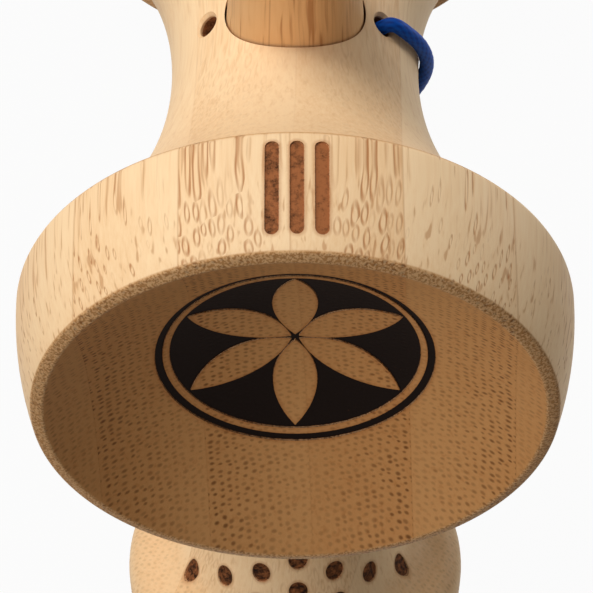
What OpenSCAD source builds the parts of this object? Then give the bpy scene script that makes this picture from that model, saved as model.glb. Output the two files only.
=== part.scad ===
// Kendama in laminated bamboo: a turned ken, a cross piece with two cups, a bored ball and its string.
// Millimetres. The ken stands on its base cup, +Z runs up to the spike, the big cup faces -Y.
// The ball stands behind the ken on the rim of its hole, with the spare string wound on the handle.

/* [Sarado] */
// Height of the cross piece's axis above the base
sarado_height = 94; // [88:0.5:100]
// Narrowest diameter of the waist
waist_d = 23.4; // [20:0.2:26]
// Diameter of the waist's flare where it meets the big cup's back
waist_root_d = 46.4; // [42:0.2:47]
// Widest diameter of the big cup
big_cup_d = 50; // [46:0.5:54]
// Diameter of the big cup's rim edge
big_rim_d = 46.2; // [43:0.2:49]
// Distance from the ken's axis to the big cup's rim
big_reach = 39; // [36:0.5:42]
// Distance from the big cup's rim to its widest place
big_belly = 11.3; // [9:0.1:13]
// Widest diameter of the small cup
small_cup_d = 45; // [41:0.5:48]
// Diameter of the small cup's rim edge
small_rim_d = 41.4; // [38:0.2:43.5]
// Distance from the ken's axis to the small cup's rim
small_reach = 36; // [34:0.5:40]
// Distance from the small cup's rim to its widest place
small_belly = 10.3; // [9.5:0.1:12]

/* [Cups] */
// Rounding of the edge behind the big and the small cup
shoulder_r = 1; // [0.5:0.1:1.4]
// Width of the lip from the rim edge to the dish
lip_w = 1.3; // [1:0.1:2]
// Rounding of the lip's outer edge
lip_outer_r = 0.35; // [0.2:0.05:0.5]
// Rounding of the lip's inner edge
lip_inner_r = 0.35; // [0.2:0.05:0.5]
// How much larger than the ball the dishes are turned, in radius
dish_ease = 1; // [0.5:0.1:3]

/* [Ken] */
// Length of the ken from base to spike
ken_length = 149; // [142:0.5:160]
// Widest diameter of the base cup
base_cup_d = 38.2; // [36:0.2:42]
// Diameter of the base cup's rim edge
base_rim_d = 35.4; // [34:0.2:37.4]
// Height of the base cup's widest place
base_belly = 10.5; // [8:0.5:12]
// Radius of the base cup's round shoulder
base_shoulder_r = 3.5; // [2:0.25:4.5]
// Diameter of the neck where it leaves the base cup
neck_d = 27.2; // [24:0.2:29]
// Radius of the hollow between the neck and the base cup's shoulder
neck_fillet_r = 6; // [3:0.5:8]
// Narrowest diameter of the handle
handle_d = 16.8; // [15:0.2:17.6]
// Height of the handle's narrowest place
handle_z = 42; // [36:0.5:48]
// Widest diameter of the grip below the cross piece
grip_d = 19.2; // [18.4:0.2:20.4]
// Distance from the cross piece's axis down to the grip's widest place
grip_drop = 22; // [20:0.5:26]
// Rounding of the grip's top
grip_round_r = 14; // [11:0.5:18]
// Diameter of the tapered seat at the cross piece's underside
seat_low_d = 15.8; // [14.6:0.1:16.4]
// Diameter of the tapered seat at the cross piece's top
seat_high_d = 12.4; // [11.6:0.1:13.2]
// Diameter of the spike where its tip begins to draw in
spike_d = 10.2; // [9:0.1:11]
// Length of the drawn-in tip
tip_length = 17; // [13:0.5:20]
// Radius of the rounded point
tip_r = 3.2; // [2.4:0.1:3.8]

/* [Tama] */
// Diameter of the ball
tama_d = 60; // [56:0.5:64]
// Diameter of the ball's hole
tama_hole_d = 22.6; // [20:0.2:24]
// Outer diameter of the hole's bevel
bevel_d = 29; // [26:0.2:31]
// Depth of the hole below the ball's full round
tama_hole_depth = 45; // [40:0.5:48]
// Height taken off the bevel's edge as a flat foot
tama_foot = 0.2; // [0.1:0.05:0.5]
// Distance of the ball behind the ken
tama_back = 108; // [100:1:120]

/* [String] */
// Diameter of the string
string_d = 1.4; // [1.2:0.1:1.5]
// Diameter of the string holes in the cross piece and the ball
string_hole_d = 2.2; // [1.9:0.1:2.6]
// Diameter of the string hole in the ken
ken_hole_d = 2.6; // [2.2:0.1:3]
// Softened edge at each string hole's mouth
string_hole_ease = 0.3; // [0.2:0.1:0.6]
// Diameter of the knot held in the ken
ken_knot_d = 3.6; // [3.2:0.1:4]
// Diameter of the knot held in the ball
tama_knot_d = 4.2; // [3.6:0.1:5]
// Diameter of the bead
bead_d = 8; // [7:0.2:10]
// Length of the bead
bead_length = 7; // [5:0.2:8]
// Height of the first turn wound on the handle
wind_z = 67.3; // [65:0.1:69]
// Rise from one wound turn to the next
wind_pitch = 1.8; // [1.8:0.05:2.4]

/* [Fits] */
// Gap between the ken and the cross piece at the seat's lower end, in radius
seat_low_gap = 0.05; // [0.03:0.01:0.08]
// Gap between the ken and the cross piece at the seat's upper end, in radius
seat_high_gap = 0.22; // [0.15:0.01:0.3]
// Gap between a knot and its pocket or the hole's end
knot_gap = 0.3; // [0.2:0.05:0.4]
// Gap between the bead and the ball
bead_gap = 0.3; // [0.2:0.05:0.5]
// Gap between the wound string and the handle
wind_gap = 0.3; // [0.2:0.05:0.5]

/* [Hidden] */
$fn = 160;
// Steps of the long, shallow arcs
long_arc_fn = 900;
overrun = 2;
string_r = string_d / 2;
hole_r = string_hole_d / 2;
dish_r = tama_d / 2 + dish_ease;
waist_r = waist_d / 2;

// The waist's arc runs to the big cup's back
waist_root_s = big_reach - big_belly - shoulder_r;
waist_rise = waist_root_d / 2 - waist_r;
waist_arc_r = arc_radius(waist_root_s, waist_rise);
// How far a hollow stretch runs into the cup that ends it
root_overlap = shoulder_r / 4;

// The tapered bore, as radii at the waist's top and bottom
bore_low_r = seat_low_d / 2 + seat_low_gap;
bore_high_r = seat_high_d / 2 + seat_high_gap;
bore_slope = (bore_low_r - bore_high_r) / waist_d;
seat_slope = (seat_low_d - seat_high_d) / 2 / waist_d;
seat_mid_r = (seat_low_d + seat_high_d) / 4;
// The cross piece's string holes leave the bore at this distance out and up
string_rise = (bore_low_r + bore_high_r) / 2 / (1 + bore_slope);
string_z = sarado_height + string_rise;
string_hole_tilts = [-45, 45];

// The handle's two arcs, below and above its narrowest place, up to the grip
handle_r = handle_d / 2;
grip_z = sarado_height - grip_drop;
neck_z = base_belly + base_shoulder_r;
neck_arc_r = arc_radius(handle_z - neck_z, neck_d / 2 - handle_r);
grip_arc_r = arc_radius(grip_z - handle_z, grip_d / 2 - handle_r);

// The knot's pocket in the ken
pocket_r = ken_knot_d / 2 + knot_gap;
pocket_floor = ken_hole_d / 2;
knot_flat_x = pocket_floor + knot_gap;

// The ball, standing on the foot cut on its bevel
tama_r = tama_d / 2;
tama_z = sqrt(tama_r ^ 2 - (bevel_d / 2) ^ 2) - tama_foot;
tama_hole_end = tama_hole_depth - tama_r;
bead_z = tama_z + tama_r + bead_gap;
// How far the bead's ends draw in from its belly
bead_end_share = 0.7;

// Radius of an arc from its rise over a run, with its end square to the run
function arc_radius(run, rise) = (run ^ 2 + rise ^ 2) / (2 * rise);
function unit(v) = v / norm(v);
// Where two circles meet, on the left of the way from the first centre to the second
function meeting(a, a_r, b, b_r) =
    let (way = b - a, along = (a_r ^ 2 - b_r ^ 2 + way * way) / (2 * norm(way)))
    a + along * unit(way) + sqrt(a_r ^ 2 - along ^ 2) * unit([-way.y, way.x]);
// Radius of the handle at a height between its narrowest and widest places
function grip_radius(z) = handle_r + grip_arc_r - sqrt(grip_arc_r ^ 2 - (z - handle_z) ^ 2);

// The string's way from the knot in the ken, over the waist's right side and down to the handle
lead_route = [
    [-1.6, 0, 100.75], [1.5, 0, 100.75], [4, 0, 100.75], [5.4, 0, 100.8], [6.6, 0, 101.05],
    [7.5, 0, 101.5], [8.1, 0, 101.9], [8.7, 0, 102.25], [9.25, 0, 102.2], [9.8, 0.05, 101.75],
    [10.4, 0.2, 100.95], [11.2, 0.6, 99.6], [11.85, 1.1, 98.05], [12.35, 1.7, 96.1], [12.55, 2.4, 94],
    [12.4, 3, 91.9], [11.95, 3.6, 89.8], [11.25, 4.1, 87.6], [10.65, 4.8, 84.6], [10.2, 5.6, 81],
    [9.75, 6.5, 77.4], [8.9, 7.6, 73.9], [7.5, 8.8, 70.6], [6, 9.8, 68.3], [4.4, 10.25, 67.3],
    [2.9, 10.25, 67.3], [1.45, 10.25, 67.3]];
// The string's way from the handle, sagging to the ball and down through the bead to its knot
tail_route = [
    [9.95, 1.45, 62.35], [9.95, 2.9, 62.35], [9.95, 4.4, 62.35], [9.8, 8.4, 61], [9.3, 15, 57.4],
    [8.4, 24, 53.4], [7.4, 34, 51.2], [6.3, 44, 50.5], [5.3, 54, 51.4], [4.2, 64, 53.6], [3.3, 73, 56.7],
    [2.4, 81, 60.3], [1.7, 88, 64.3], [1, 94.5, 68.6], [0.5, 99, 71.9], [0.2, 101.6, 73.6],
    [0, 104, 74.4], [0, 106.6, 73.4], [0, 108, 70.6], [0, 108, 66], [0, 108, 60],
    [0, 108, 50], [0, 108, 40.8]];
route_steps = 2;
tube_sides = 8;

// The wound turns, from the back of the handle to its right side
wind_from = 90;
wind_to = 1080;
wind_step = 15;
wind_sides = 6;
wind_points = [for (a = [wind_from:wind_step:wind_to]) wind_point(a)];
wind_start = wind_points[0];
wind_end = wind_points[len(wind_points) - 1];
wind_route = concat([wind_start + [string_d, 0, 0]], wind_points, [wind_end + [0, string_d, 0]]);

function wind_height(a) = wind_z - wind_pitch * (a - wind_from) / 360;
function wind_radius(a) = grip_radius(wind_height(a)) + string_r + wind_gap;
function wind_point(a) = [wind_radius(a) * cos(a), wind_radius(a) * sin(a), wind_height(a)];

// A smooth curve through a route's points
function beyond(a, b) = 2 * a - b;
function route_at(r, i) =
    i < 0 ? beyond(r[0], r[1]) : i >= len(r) ? beyond(r[len(r) - 1], r[len(r) - 2]) : r[i];
function curve(p, q, r, s, t) =
    (2 * q + (r - p) * t + (2 * p - 5 * q + 4 * r - s) * t ^ 2 + (3 * (q - r) + s - p) * t ^ 3) / 2;
function smooth(r) = concat(
    [for (i = [0:len(r) - 2], k = [0:route_steps - 1])
        curve(route_at(r, i - 1), r[i], r[i + 1], route_at(r, i + 2), k / route_steps)],
    [r[len(r) - 1]]);
function run_length(p) = [for (i = [1:len(p) - 1]) norm(p[i] - p[i - 1])] * [for (i = [1:len(p) - 1]) 1];

// Tangents along a path, and sides carried along it without twist
function tangents(p) = [for (i = [0:len(p) - 1])
    unit(p[min(i + 1, len(p) - 1)] - p[max(i - 1, 0)])];
function square_to(side, along) = unit(side - (side * along) * along);
function sides_along(ts) = [for (i = 0, side = [0, 0, 1]; i < len(ts);
    i = i + 1, side = i < len(ts) ? square_to(side, ts[i]) : side) side];

// Least gap between one turn and the next, measured on the winding's points
turn_points = 360 / wind_step;
turn_gaps = [for (i = [0:len(wind_points) - 1], j = [i + turn_points / 2:len(wind_points) - 1])
    norm(wind_points[i] - wind_points[j]) - string_d];
echo(least_gap_between_turns = min(turn_gaps));
echo(string_length = run_length(smooth(lead_route)) + run_length(wind_route)
    + run_length(smooth(tail_route)));

// A closed tube along a path
module tube(path, sides) {
    ts = tangents(path);
    ups = sides_along(ts);
    last = (len(path) - 1) * sides;
    points = [for (i = [0:len(path) - 1], k = [0:sides - 1])
        let (across = cross(ts[i], ups[i]), a = 360 * k / sides)
        path[i] + string_r * (cos(a) * ups[i] + sin(a) * across)];
    walls = [for (i = [0:len(path) - 2], k = [0:sides - 1], half = [0, 1])
        let (low = i * sides, high = low + sides, next = (k + 1) % sides)
        half == 0 ? [low + k, high + k, high + next] : [low + k, high + next, low + next]];
    caps = [for (k = [1:sides - 2], end = [0, 1])
        end == 0 ? [0, k, k + 1] : [last, last + k + 1, last + k]];
    polyhedron(points = points, faces = concat(walls, caps));
}

// Half section of one cup, with its rim on the first axis and the rest above it
module cup_section(belly_r, rim_r, belly_depth, back_r) {
    arc_r = arc_radius(belly_depth, belly_r - rim_r);
    arc_x = belly_r - arc_r;
    dish_edge = rim_r - lip_w;
    dish_y = sqrt(dish_r ^ 2 - dish_edge ^ 2);
    outer = [arc_x + sqrt((arc_r - lip_outer_r) ^ 2 - (belly_depth - lip_outer_r) ^ 2), lip_outer_r];
    inner = [sqrt((dish_r + lip_inner_r) ^ 2 - (dish_y + lip_inner_r) ^ 2), lip_inner_r];
    outer_way = unit(outer - [arc_x, belly_depth]);
    inner_way = unit([0, -dish_y] - inner);
    difference() {
        union() {
            intersection() {
                translate([arc_x, belly_depth])
                    circle(r = arc_r, $fn = long_arc_fn);
                square([belly_r, belly_depth]);
            }
            square([belly_r - back_r, belly_depth + back_r]);
            translate([belly_r - back_r, belly_depth])
                circle(r = back_r);
        }
        translate([0, -dish_y])
            circle(r = dish_r, $fn = long_arc_fn);
        polygon([outer, [outer.x, -overrun], [outer.x + lip_outer_r + overrun, -overrun],
            outer + (lip_outer_r + overrun) * outer_way]);
        polygon([inner, [inner.x, -overrun], inner + (lip_inner_r + overrun) * inner_way]);
    }
    translate(outer)
        circle(r = lip_outer_r);
    translate(inner)
        circle(r = lip_inner_r);
}

// Half section of a concave stretch, narrowest at its foot, as high as it is told
module hollow_section(narrow_r, arc_r, height) {
    difference() {
        square([narrow_r + arc_r, height]);
        translate([narrow_r + arc_r, 0])
            circle(r = arc_r, $fn = long_arc_fn);
    }
}

// Half section of the cross piece along its axis, the big cup upwards
module sarado_section() {
    hollow_section(waist_r, waist_arc_r, waist_root_s + root_overlap);
    mirror([0, 1])
        hollow_section(waist_r, waist_arc_r, small_reach - small_belly - shoulder_r + root_overlap);
    translate([0, big_reach])
        mirror([0, 1])
            cup_section(big_cup_d / 2, big_rim_d / 2, big_belly, shoulder_r);
    translate([0, -small_reach])
        cup_section(small_cup_d / 2, small_rim_d / 2, small_belly, shoulder_r);
}

// The cross piece: two cups on a waist, bored for the ken and for the string
module sarado() {
    color("burlywood")
        translate([0, 0, sarado_height])
            difference() {
                rotate([90, 0, 0])
                    rotate_extrude()
                        sarado_section();
                translate([0, 0, -waist_r - overrun])
                    cylinder(h = waist_d + 2 * overrun, r1 = bore_low_r + overrun * bore_slope,
                        r2 = bore_high_r - overrun * bore_slope);
                for (tilt = string_hole_tilts)
                    rotate([0, tilt, 0])
                        string_hole(waist_r);
            }
}

// A string hole from the origin up to a surface, with its mouth softened
module string_hole(surface) {
    cylinder(h = surface + overrun, r = hole_r);
    translate([0, 0, surface - string_hole_ease])
        cylinder(h = string_hole_ease + overrun, r1 = hole_r, r2 = hole_r + string_hole_ease + overrun);
}

// Half section of the seat and the spike, from the grip to the rounded point
module spike_section() {
    seat_top = sarado_height + waist_r;
    tip_start = [spike_d / 2, ken_length - tip_length];
    point = [0, ken_length - tip_r];
    way = tip_start - point;
    touch_angle = atan2(way.y, way.x) + acos(tip_r / norm(way));
    touch = point + tip_r * [cos(touch_angle), sin(touch_angle)];
    polygon([[0, grip_z], [seat_mid_r + seat_slope * (sarado_height - grip_z), grip_z],
        [seat_high_d / 2, seat_top], tip_start, touch, [0, touch.y]]);
    intersection() {
        translate(point)
            circle(r = tip_r);
        translate([0, point.y - tip_r])
            square([tip_r, 2 * tip_r]);
    }
}

// Half section of the hollow that leads the neck into the base cup's shoulder
module neck_fillet_section() {
    shoulder = [base_cup_d / 2 - base_shoulder_r, base_belly];
    neck = [handle_r + neck_arc_r, handle_z];
    centre = meeting(shoulder, base_shoulder_r + neck_fillet_r, neck, neck_arc_r - neck_fillet_r);
    low = shoulder + base_shoulder_r * unit(centre - shoulder);
    high = neck + neck_arc_r * unit(centre - neck);
    difference() {
        polygon([[0, base_belly], low, centre, high, [0, high.y]]);
        translate(centre)
            circle(r = neck_fillet_r);
    }
}

// Half section of the whole ken, standing on its base cup
module ken_section() {
    cup_section(base_cup_d / 2, base_rim_d / 2, base_belly, base_shoulder_r);
    neck_fillet_section();
    translate([0, handle_z])
        mirror([0, 1])
            hollow_section(handle_r, neck_arc_r, handle_z - neck_z + root_overlap);
    translate([0, handle_z])
        hollow_section(handle_r, grip_arc_r, grip_z - handle_z);
    intersection() {
        translate([grip_d / 2 - grip_round_r, grip_z])
            circle(r = grip_round_r);
        translate([0, grip_z])
            square([grip_d / 2, grip_round_r]);
    }
    spike_section();
}

// The ken: base cup, handle, tapered seat and spike, with the string hole and its knot's pocket
module ken() {
    color("wheat")
        difference() {
            rotate_extrude()
                ken_section();
            translate([-seat_low_d, 0, string_z])
                rotate([0, 90, 0])
                    cylinder(h = 2 * seat_low_d, r = ken_hole_d / 2);
            translate([-pocket_floor, 0, string_z])
                rotate([0, -90, 0])
                    cylinder(h = seat_low_d, r = pocket_r);
        }
}

// The ball, bored from below with a bevelled mouth, with the string hole at its top
module tama() {
    color("burlywood")
        translate([0, tama_back, tama_z])
            difference() {
                sphere(d = tama_d);
                translate([0, 0, -tama_r - overrun])
                    cylinder(h = tama_hole_depth + overrun, d = tama_hole_d);
                translate([0, 0, -tama_z - tama_foot - overrun])
                    cylinder(h = bevel_d / 2 + overrun, r1 = bevel_d / 2 + overrun, r2 = 0);
                translate([-tama_r, -tama_r, -tama_r - tama_z])
                    cube([tama_d, tama_d, tama_r]);
                string_hole(tama_r);
            }
}

// The barrel-shaped bead on the string above the ball
module bead() {
    draw_in = bead_d / 2 * (1 - bead_end_share);
    barrel_r = arc_radius(bead_length / 2, draw_in);
    color("tan")
        translate([0, tama_back, bead_z])
            rotate_extrude()
                difference() {
                    intersection() {
                        translate([bead_d / 2 - barrel_r, bead_length / 2])
                            circle(r = barrel_r);
                        square([bead_d / 2, bead_length]);
                    }
                    translate([0, -overrun])
                        square([hole_r, bead_length + 2 * overrun]);
                }
}

// A knot as a ball with a flat of the string's width, which faces +Z at the origin
module knot(d) {
    drop = sqrt((d / 2) ^ 2 - string_r ^ 2);
    difference() {
        translate([0, 0, -drop])
            sphere(d = d);
        translate([-d, -d, 0])
            cube([2 * d, 2 * d, d]);
    }
}

// The knot in the ken's pocket, facing the string hole
module ken_knot() {
    color("royalblue")
        translate([-knot_flat_x, 0, string_z])
            rotate([0, 90, 0])
                knot(ken_knot_d);
}

// The knot under the end of the ball's hole
module tama_knot() {
    color("royalblue")
        translate([0, tama_back, tama_z + tama_hole_end - knot_gap])
            knot(tama_knot_d);
}

// The string from the ken's knot to the handle
module string_lead() {
    color("royalblue")
        tube(smooth(lead_route), tube_sides);
}

// The spare string, wound on the handle
module string_winding() {
    color("royalblue")
        tube(wind_route, wind_sides);
}

// The string from the handle to the ball's knot
module string_tail() {
    color("royalblue")
        tube(smooth(tail_route), tube_sides);
}

ken();
sarado();
tama();
bead();
ken_knot();
tama_knot();
string_lead();
string_winding();
string_tail();
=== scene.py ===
"""A bamboo kendama on a pale floor: ken, cross piece, ball, bead and string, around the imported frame."""
import math

import bmesh
import bpy
from mathutils import Matrix, Vector


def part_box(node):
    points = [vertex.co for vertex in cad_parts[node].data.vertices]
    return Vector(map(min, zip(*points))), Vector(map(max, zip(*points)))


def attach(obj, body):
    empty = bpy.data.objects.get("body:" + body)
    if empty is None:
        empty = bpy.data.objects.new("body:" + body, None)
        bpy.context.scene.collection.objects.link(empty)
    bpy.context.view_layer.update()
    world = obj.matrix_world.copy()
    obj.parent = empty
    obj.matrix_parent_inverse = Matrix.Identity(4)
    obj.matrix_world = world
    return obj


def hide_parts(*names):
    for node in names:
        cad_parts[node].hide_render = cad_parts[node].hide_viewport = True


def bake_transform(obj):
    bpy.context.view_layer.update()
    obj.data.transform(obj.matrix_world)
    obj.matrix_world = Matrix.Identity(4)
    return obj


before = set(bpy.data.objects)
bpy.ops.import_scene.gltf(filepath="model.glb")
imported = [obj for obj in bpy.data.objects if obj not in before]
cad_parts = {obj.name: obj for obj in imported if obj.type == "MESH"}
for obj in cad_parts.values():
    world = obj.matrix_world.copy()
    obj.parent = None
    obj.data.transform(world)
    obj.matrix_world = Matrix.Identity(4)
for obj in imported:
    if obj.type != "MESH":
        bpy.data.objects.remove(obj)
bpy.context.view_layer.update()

# Ken: the handle, turned in one piece from bamboo glued up in strips along its length. It has a cup
# at its base, a tapered seat for the cross piece and a blunt spike, and is sanded and oiled. Rows of
# round dots are burnt into the front of its neck, a hair below the surface.
ken_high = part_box("ken")[1]
ken_length = ken_high.z
base_cup_r = ken_high.x
base_rim_r = 0.0177
base_belly = 0.0105
base_shoulder_r = 0.0035
neck_r = 0.0136
neck_z = 0.014
neck_fillet_r = 0.006
handle_r = 0.0084
handle_z = 0.042
grip_r = 0.0096
grip_z = 0.072
grip_round_r = 0.014
seat_low_r = 0.0079
seat_high_r = 0.0062
spike_r = 0.0051
tip_length = 0.017
tip_r = 0.0032
base_dish_r = 0.031
base_lip_w = 0.0013
lip_ease = 0.00025
waist_r = 0.0117
sarado_z = 0.094
string_z = 0.10074
outline_step = 0.0006
least_arc_steps = 6
least_edge = 1e-7
weld_gap = 1e-6
drill_steps = 48


def turn(way):
    """The angle of a direction, from 0 to a full turn."""
    return math.atan2(way.y, way.x) % math.tau


def arc(centre, radius, start, end):
    """Points of an outline along an arc."""
    steps = max(least_arc_steps, math.ceil(abs(end - start) * radius / outline_step))
    angles = [start + (end - start) * i / steps for i in range(steps + 1)]
    return [centre + radius * Vector((math.cos(a), math.sin(a))) for a in angles]


def line(start, end):
    """Points of an outline along a straight stretch."""
    steps = max(1, math.ceil((end - start).length / outline_step))
    return [start.lerp(end, i / steps) for i in range(steps + 1)]


def arc_radius(run, rise):
    """Radius of an arc that rises so far over a run, starting along it."""
    return (run ** 2 + rise ** 2) / (2 * rise)


def eased(start, corner, end):
    """Points that round a corner of an outline."""
    shares = [i / least_arc_steps for i in range(least_arc_steps + 1)]
    return [start.lerp(corner, t).lerp(corner.lerp(end, t), t) for t in shares]


def cup_outline(belly_r, rim_r, belly, dish_r, lip_w, lip_fall):
    """Half outline of a cup, from the middle of its dish over the lip to the widest place of its belly."""
    belly_arc = arc_radius(belly, belly_r - rim_r)
    belly_centre = Vector((belly_r - belly_arc, belly))
    dish_centre = Vector((0, -math.sqrt(dish_r ** 2 - (rim_r - lip_w) ** 2)))
    inner = Vector((rim_r - lip_w, 0))
    outer = Vector((belly_centre.x + math.sqrt(belly_arc ** 2 - (belly - lip_fall) ** 2), lip_fall))
    dish = arc(dish_centre, dish_r, math.pi / 2, turn(inner - dish_centre) + lip_ease / dish_r)
    side = arc(belly_centre, belly_arc, turn(outer - belly_centre) - math.tau + lip_ease / belly_arc, 0)
    over = (outer - inner).normalized() * lip_ease
    return dish + eased(dish[-1], inner, inner + over) + eased(outer - over, outer, side[0]) + side


def turned(name, outline, steps, closed=False):
    """A piece turned on a lathe: its half outline, spun about Z."""
    bm = bmesh.new()
    verts = [bm.verts.new((p.x, 0, p.y)) for p in outline]
    ends = list(zip(verts, verts[1:])) + ([(verts[-1], verts[0])] if closed else [])
    edges = [bm.edges.new(pair) for pair in ends if (pair[0].co - pair[1].co).length > least_edge]
    bmesh.ops.spin(bm, geom=verts + edges, cent=(0, 0, 0), axis=(0, 0, 1), angle=math.tau,
                   steps=steps, use_merge=True)
    bmesh.ops.remove_doubles(bm, verts=bm.verts, dist=weld_gap)
    bmesh.ops.recalc_face_normals(bm, faces=bm.faces)
    return as_object(name, bm)


def as_object(name, bm):
    """Writes a bmesh to a new object of the scene."""
    mesh = bpy.data.meshes.new(name)
    bm.to_mesh(mesh)
    bm.free()
    piece = bpy.data.objects.new(name, mesh)
    bpy.context.scene.collection.objects.link(piece)
    return piece


def cut(piece, tool, operation="DIFFERENCE"):
    """Cuts a piece with another, which is used up. The cut leaves an empty material slot, which goes."""
    modifier = piece.modifiers.new("cut", "BOOLEAN")
    modifier.operation = operation
    modifier.solver = "MANIFOLD"
    modifier.object = tool
    bpy.context.view_layer.update()
    shaped = piece.evaluated_get(bpy.context.evaluated_depsgraph_get())
    old = piece.data
    piece.data = bpy.data.meshes.new_from_object(shaped)
    piece.data.materials.clear()
    piece.modifiers.clear()
    bpy.data.meshes.remove(old)
    bpy.data.objects.remove(tool)
    piece.data.name = piece.name


def smooth(piece, sharp=35):
    """Shades a piece smooth, apart from its sharp edges."""
    for polygon in piece.data.polygons:
        polygon.use_smooth = True
    piece.data.set_sharp_from_angle(angle=math.radians(sharp))


def rod(name, radius, length, place, segments=drill_steps, radius_top=None):
    """A drill for a round hole, from the origin of a place along its Z."""
    bm = bmesh.new()
    bmesh.ops.create_cone(bm, cap_ends=True, segments=segments, radius1=radius, depth=length,
                          radius2=radius if radius_top is None else radius_top,
                          matrix=place @ Matrix.Translation((0, 0, length / 2)))
    return as_object(name, bm)


def crossing(first, first_r, second, second_r):
    """The point nearer to the axis where two circles meet."""
    way = second - first
    along = (first_r ** 2 - second_r ** 2 + way.length ** 2) / (2 * way.length)
    aside = math.sqrt(first_r ** 2 - along ** 2)
    middle = first + way.normalized() * along
    across_way = Vector((-way.y, way.x)).normalized() * aside
    return min(middle + across_way, middle - across_way, key=lambda p: p.x)


def ken_outline(inset=0):
    """Half outline of the ken from its dish to its spike; an inset draws the neck in."""
    shoulder = Vector((base_cup_r - base_shoulder_r, base_belly))
    neck_arc = arc_radius(handle_z - neck_z, neck_r - handle_r)
    neck_centre = Vector((handle_r + neck_arc, handle_z))
    fillet = crossing(shoulder, base_shoulder_r + neck_fillet_r, neck_centre, neck_arc - neck_fillet_r)
    neck_turn = turn(fillet - neck_centre)
    base = (cup_outline(base_cup_r, base_rim_r, base_belly, base_dish_r, base_lip_w, 0)
            + arc(shoulder, base_shoulder_r, 0, turn(fillet - shoulder))
            + arc(fillet, neck_fillet_r + inset, turn(shoulder - fillet), neck_turn))
    neck = arc(neck_centre, neck_arc + inset, neck_turn, math.pi)
    grip_arc = arc_radius(grip_z - handle_z, grip_r - handle_r)
    grip_centre = Vector((handle_r + grip_arc, handle_z))
    grip = arc(grip_centre, grip_arc + inset, math.pi, turn(Vector((grip_r, grip_z)) - grip_centre))
    seat_top = Vector((seat_high_r, sarado_z + waist_r))
    slope = (seat_low_r - seat_high_r) / (2 * waist_r)
    seat_in = seat_high_r + slope * (seat_top.y - grip_z) - (grip_r - grip_round_r)
    over = 1 + slope ** 2
    rise = slope * seat_in + math.sqrt((slope * seat_in) ** 2 - over * (seat_in ** 2 - grip_round_r ** 2))
    seat_z = grip_z + rise / over
    seat_foot = Vector((seat_high_r + slope * (seat_top.y - seat_z), seat_z))
    round_centre = Vector((grip_r - grip_round_r, grip_z))
    tip_start = Vector((spike_r, ken_length - tip_length))
    point = Vector((0, ken_length - tip_r))
    way = tip_start - point
    touch_turn = turn(way) - math.tau + math.acos(tip_r / way.length)
    tip = arc(point, tip_r, touch_turn, math.pi / 2)
    return (base + neck + grip + arc(round_centre, grip_round_r, 0, turn(seat_foot - round_centre))
            + line(seat_foot, seat_top) + line(seat_top, tip_start) + line(tip_start, tip[0]) + tip)


ken_steps = 160
ken_hole_r = 0.0013
pocket_r = 0.0021
pocket_floor = 0.0013
dot_r = 0.00105
dot_stretch = 1.3
dot_depth = 0.00012
dot_rows = 4
dot_top_z = 0.0262
dot_row_drop = 0.0023
dot_bow = 0.000275
dot_column = math.tau / 16
dot_turn = math.radians(1.8)
dot_core_r = 0.009
dot_sides = 32
dot_char = 0.1
ken = turned("ken_bamboo", ken_outline(), ken_steps)
across = Matrix.Translation((0, 0, string_z)) @ Matrix.Rotation(math.pi / 2, 4, "Y")
cut(ken, rod("string_drill", ken_hole_r, base_cup_r, across @ Matrix.Translation((0, 0, -base_cup_r / 2))))
cut(ken, rod("pocket_drill", pocket_r, base_cup_r,
             across @ Matrix.Rotation(math.pi, 4, "Y") @ Matrix.Translation((0, 0, pocket_floor))))

dots = bmesh.new()
for row in range(dot_rows):
    for column in range(-row, row + 1, 2):
        dot_z = dot_top_z - dot_row_drop * row - dot_bow * column ** 2
        around = Matrix.Rotation(dot_turn + dot_column * column, 4, "Z")
        outwards = around @ Matrix.Translation((0, -(dot_core_r + base_cup_r) / 2, dot_z))
        oval = Matrix.Scale(dot_stretch, 4, (0, 0, 1)) @ Matrix.Rotation(math.pi / 2, 4, "X")
        bmesh.ops.create_cone(dots, cap_ends=True, segments=dot_sides, radius1=dot_r, radius2=dot_r,
                              depth=base_cup_r - dot_core_r, matrix=outwards @ oval)
dot_tool = as_object("dot_tool", dots)
cut(dot_tool, turned("ken_core", ken_outline(dot_depth), ken_steps))
cut(ken, dot_tool)
smooth(ken)


def node(tree, kind, inputs, **settings):
    """Adds a shader node with its settings; each input is a value or another node's output."""
    made = tree.nodes.new("ShaderNode" + kind)
    for name, value in settings.items():
        setattr(made, name, value)
    for name, value in inputs.items():
        if isinstance(value, bpy.types.NodeSocket):
            tree.links.new(value, made.inputs[name])
        else:
            made.inputs[name].default_value = value
    return made


def calc(tree, operation, *values):
    """One step of arithmetic on shader values."""
    return node(tree, "Math", dict(enumerate(values)), operation=operation).outputs[0]


def length2(tree, first, second):
    """Length of a vector of two shader values."""
    squares = [calc(tree, "POWER", value, 2) for value in (first, second)]
    return calc(tree, "SQRT", calc(tree, "ADD", *squares))


def fade(tree, value, start, end):
    """0 before start and 1 past end, with a smooth step between."""
    inputs = {0: value, 1: start, 2: end}
    return node(tree, "MapRange", inputs, interpolation_type="SMOOTHSTEP").outputs[0]


def mixed(tree, factor, first, second, blend="MIX"):
    """Two colours mixed by a factor."""
    inputs = {0: factor, 6: first, 7: second}
    return node(tree, "Mix", inputs, data_type="RGBA", blend_type=blend).outputs[2]


def seen(red, green, blue):
    """A colour as it is seen on a screen, from 0 to 255, for a shader's socket."""
    shares = [c / 255 for c in (red, green, blue)]
    return [c / 12.92 if c <= 0.04045 else ((c + 0.055) / 1.055) ** 2.4 for c in shares] + [1]


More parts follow.
